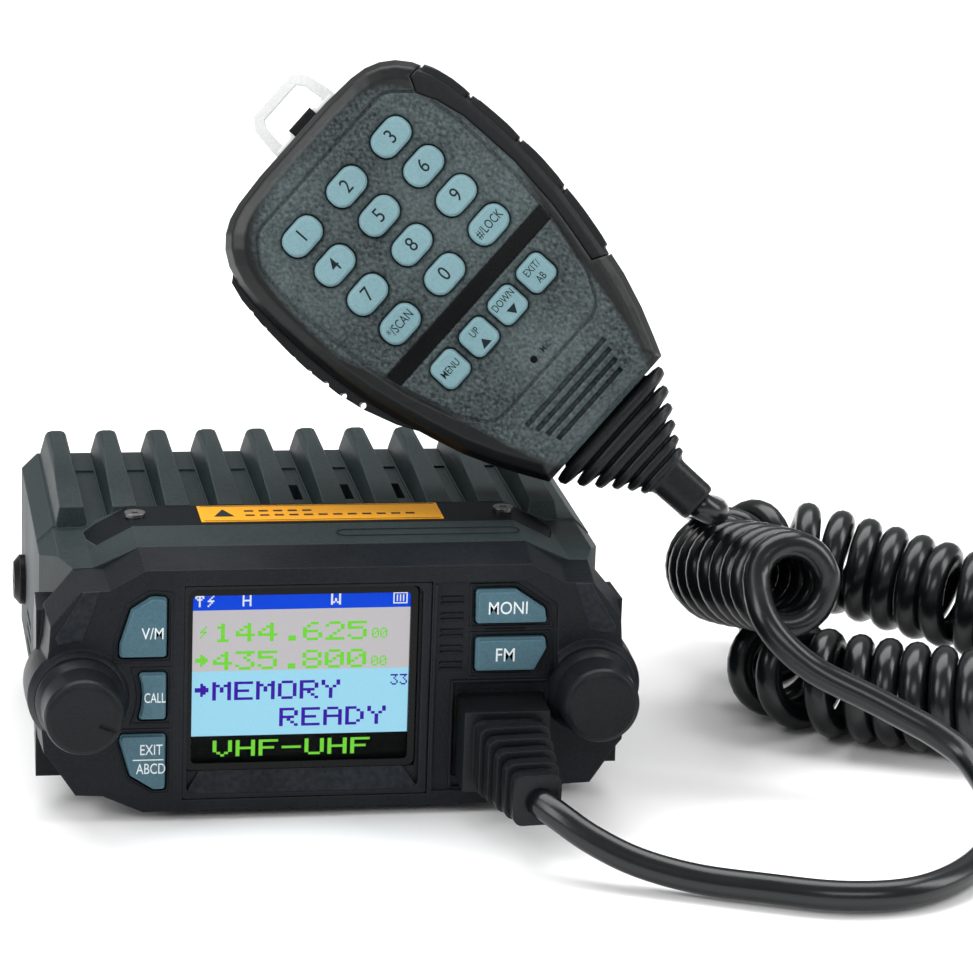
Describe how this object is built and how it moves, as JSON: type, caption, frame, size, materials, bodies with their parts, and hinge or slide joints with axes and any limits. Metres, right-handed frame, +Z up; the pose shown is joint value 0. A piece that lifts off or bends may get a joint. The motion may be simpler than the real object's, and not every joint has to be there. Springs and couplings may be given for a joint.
{
  "type": "mobile transceiver",
  "caption": "Dash-mounted two-knob radio with finned casting, colour display and a keypad hand microphone on a curly cord.",
  "frame": {"origin": "middle of the radio's base, on the plane its feet stand on", "axes": "+X to the right seen from the front, +Y away from the front panel, +Z up"},
  "size_m": [0.2015, 0.1502, 0.1148],
  "materials": {
    "legend_light": "printed legends, plain words only",
    "legend_dark": "printed legends and numbers",
    "screen_picture": "lit display dots",
    "cast_metal": "fine matt paint",
    "trim_plate": "satin black",
    "label": "printed label, no text",
    "screw_steel": "zinc",
    "black_screw": "black oxide",
    "panel_plastic": "fine grained moulding",
    "lens_glass": "clear",
    "display": "lit colour display",
    "panel_key": "slate blue",
    "knob_plastic": "satin black",
    "shaft_metal": "plain",
    "socket_plastic": "black",
    "board": "solder mask",
    "speaker_black": "black",
    "fan_plastic": "black",
    "connector_metal": "nickel plate",
    "mic_shell": "coarse grained moulding",
    "mic_rear": "black moulding",
    "mic_rubber": "black",
    "mic_key": "pale blue, dark legends",
    "hanger_steel": "white moulding",
    "capsule_metal": "plain",
    "boot_rubber": "black",
    "plug_clear": "clear",
    "cord_jacket": "glossy black jacket"
  },
  "bodies": {
    "radio": {"chassis": "cast_metal", "bottom_cover": "cast_metal", "top_plate": "trim_plate", "top_label": "label", "plate_screws": "screw_steel", "cover_screws": "screw_steel", "side_screws": "black_screw", "front_bezel": "panel_plastic", "display_lens": "lens_glass", "lcd_module": "display", "pot_left": "shaft_metal", "encoder_right": "shaft_metal", "mic_jack": "socket_plastic", "front_pcb": "board", "main_pcb": "board", "speaker": "speaker_black", "fan_frame": "fan_plastic", "antenna_socket": "connector_metal", "dc_socket": "socket_plastic", "speaker_jack": "connector_metal", "plug_boot": "boot_rubber", "plug_body": "plug_clear", "cord_lead": "cord_jacket", "cord_coil": "cord_jacket", "cord_end": "cord_jacket"},
    "volume_knob": {"knob_left": "knob_plastic", "shaft_left": "shaft_metal"},
    "tuning_knob": {"knob_right": "knob_plastic", "shaft_right": "shaft_metal"},
    "fan": {"fan_rotor": "fan_plastic"},
    "key_vm": {"key_vm": "panel_key"},
    "key_call": {"key_call": "panel_key"},
    "key_exit": {"key_exit": "panel_key"},
    "key_moni": {"key_moni": "panel_key"},
    "key_fm": {"key_fm": "panel_key"},
    "hand_mic": {"mic_front": "mic_shell", "mic_back": "mic_rear", "mic_grip": "mic_rubber", "mic_boot": "mic_rubber", "mic_pcb": "board", "mic_capsule": "capsule_metal", "mic_screws": "screw_steel"},
    "ptt": {"ptt_lever": "mic_rubber"},
    "hanger": {"mic_hanger": "hanger_steel"},
    "mic_key_1": {"mic_key_1": "mic_key"},
    "mic_key_2": {"mic_key_2": "mic_key"},
    "mic_key_3": {"mic_key_3": "mic_key"},
    "mic_key_4": {"mic_key_4": "mic_key"},
    "mic_key_5": {"mic_key_5": "mic_key"},
    "mic_key_6": {"mic_key_6": "mic_key"},
    "mic_key_7": {"mic_key_7": "mic_key"},
    "mic_key_8": {"mic_key_8": "mic_key"},
    "mic_key_9": {"mic_key_9": "mic_key"},
    "mic_key_star": {"mic_key_star": "mic_key"},
    "mic_key_0": {"mic_key_0": "mic_key"},
    "mic_key_hash": {"mic_key_hash": "mic_key"},
    "mic_fn_1": {"mic_fn_1": "mic_key"},
    "mic_fn_2": {"mic_fn_2": "mic_key"},
    "mic_fn_3": {"mic_fn_3": "mic_key"},
    "mic_fn_4": {"mic_fn_4": "mic_key"}
  },
  "joints": [
    {"name": "volume_turn", "type": "hinge", "parent": "radio", "child": "volume_knob", "pos_m": [-0.041, -0.042, 0.0211], "axis": [0, -1, 0], "range_deg": [-120, 150]},
    {"name": "tuning_turn", "type": "hinge", "parent": "radio", "child": "tuning_knob", "pos_m": [0.041, -0.042, 0.0211], "axis": [0, -1, 0], "continuous": true},
    {"name": "fan_spin", "type": "hinge", "parent": "radio", "child": "fan", "pos_m": [0, 0.046, 0.0228], "axis": [0, 1, 0], "continuous": true},
    {"name": "press_vm", "type": "slide", "parent": "radio", "child": "key_vm", "axis": [0, 1, 0], "range_m": [0, 0.0008], "stiffness_N_per_m": 400},
    {"name": "press_call", "type": "slide", "parent": "radio", "child": "key_call", "axis": [0, 1, 0], "range_m": [0, 0.0008], "stiffness_N_per_m": 400},
    {"name": "press_exit", "type": "slide", "parent": "radio", "child": "key_exit", "axis": [0, 1, 0], "range_m": [0, 0.0008], "stiffness_N_per_m": 400},
    {"name": "press_moni", "type": "slide", "parent": "radio", "child": "key_moni", "axis": [0, 1, 0], "range_m": [0, 0.0008], "stiffness_N_per_m": 400},
    {"name": "press_fm", "type": "slide", "parent": "radio", "child": "key_fm", "axis": [0, 1, 0], "range_m": [0, 0.0008], "stiffness_N_per_m": 400},
    {"name": "mic_lift", "type": "slide", "parent": "radio", "child": "hand_mic", "axis": [-0.7258, 0.3128, 0.6126], "range_m": [0, 0.012]},
    {"name": "ptt_press", "type": "hinge", "parent": "hand_mic", "child": "ptt", "pos_m": [0.02067, -0.00398, 0.05748], "axis": [0.1693, 0.9444, -0.2818], "range_deg": [0, 2.5], "stiffness_Nm_per_rad": 2},
    {"name": "hanger_swing", "type": "hinge", "parent": "hand_mic", "child": "hanger", "pos_m": [-0.00002, 0.01978, 0.10163], "axis": [0.6667, 0.1008, 0.7385], "range_deg": [-60, 60]},
    {"name": "press_mic_1", "type": "slide", "parent": "hand_mic", "child": "mic_key_1", "axis": [0.1693, 0.9444, -0.2818], "range_m": [0, 0.0008], "stiffness_N_per_m": 300},
    {"name": "press_mic_2", "type": "slide", "parent": "hand_mic", "child": "mic_key_2", "axis": [0.1693, 0.9444, -0.2818], "range_m": [0, 0.0008], "stiffness_N_per_m": 300},
    {"name": "press_mic_3", "type": "slide", "parent": "hand_mic", "child": "mic_key_3", "axis": [0.1693, 0.9444, -0.2818], "range_m": [0, 0.0008], "stiffness_N_per_m": 300},
    {"name": "press_mic_4", "type": "slide", "parent": "hand_mic", "child": "mic_key_4", "axis": [0.1693, 0.9444, -0.2818], "range_m": [0, 0.0008], "stiffness_N_per_m": 300},
    {"name": "press_mic_5", "type": "slide", "parent": "hand_mic", "child": "mic_key_5", "axis": [0.1693, 0.9444, -0.2818], "range_m": [0, 0.0008], "stiffness_N_per_m": 300},
    {"name": "press_mic_6", "type": "slide", "parent": "hand_mic", "child": "mic_key_6", "axis": [0.1693, 0.9444, -0.2818], "range_m": [0, 0.0008], "stiffness_N_per_m": 300},
    {"name": "press_mic_7", "type": "slide", "parent": "hand_mic", "child": "mic_key_7", "axis": [0.1693, 0.9444, -0.2818], "range_m": [0, 0.0008], "stiffness_N_per_m": 300},
    {"name": "press_mic_8", "type": "slide", "parent": "hand_mic", "child": "mic_key_8", "axis": [0.1693, 0.9444, -0.2818], "range_m": [0, 0.0008], "stiffness_N_per_m": 300},
    {"name": "press_mic_9", "type": "slide", "parent": "hand_mic", "child": "mic_key_9", "axis": [0.1693, 0.9444, -0.2818], "range_m": [0, 0.0008], "stiffness_N_per_m": 300},
    {"name": "press_mic_star", "type": "slide", "parent": "hand_mic", "child": "mic_key_star", "axis": [0.1693, 0.9444, -0.2818], "range_m": [0, 0.0008], "stiffness_N_per_m": 300},
    {"name": "press_mic_0", "type": "slide", "parent": "hand_mic", "child": "mic_key_0", "axis": [0.1693, 0.9444, -0.2818], "range_m": [0, 0.0008], "stiffness_N_per_m": 300},
    {"name": "press_mic_hash", "type": "slide", "parent": "hand_mic", "child": "mic_key_hash", "axis": [0.1693, 0.9444, -0.2818], "range_m": [0, 0.0008], "stiffness_N_per_m": 300},
    {"name": "press_mic_fn_1", "type": "slide", "parent": "hand_mic", "child": "mic_fn_1", "axis": [0.1693, 0.9444, -0.2818], "range_m": [0, 0.0008], "stiffness_N_per_m": 300},
    {"name": "press_mic_fn_2", "type": "slide", "parent": "hand_mic", "child": "mic_fn_2", "axis": [0.1693, 0.9444, -0.2818], "range_m": [0, 0.0008], "stiffness_N_per_m": 300},
    {"name": "press_mic_fn_3", "type": "slide", "parent": "hand_mic", "child": "mic_fn_3", "axis": [0.1693, 0.9444, -0.2818], "range_m": [0, 0.0008], "stiffness_N_per_m": 300},
    {"name": "press_mic_fn_4", "type": "slide", "parent": "hand_mic", "child": "mic_fn_4", "axis": [0.1693, 0.9444, -0.2818], "range_m": [0, 0.0008], "stiffness_N_per_m": 300}
  ]
}
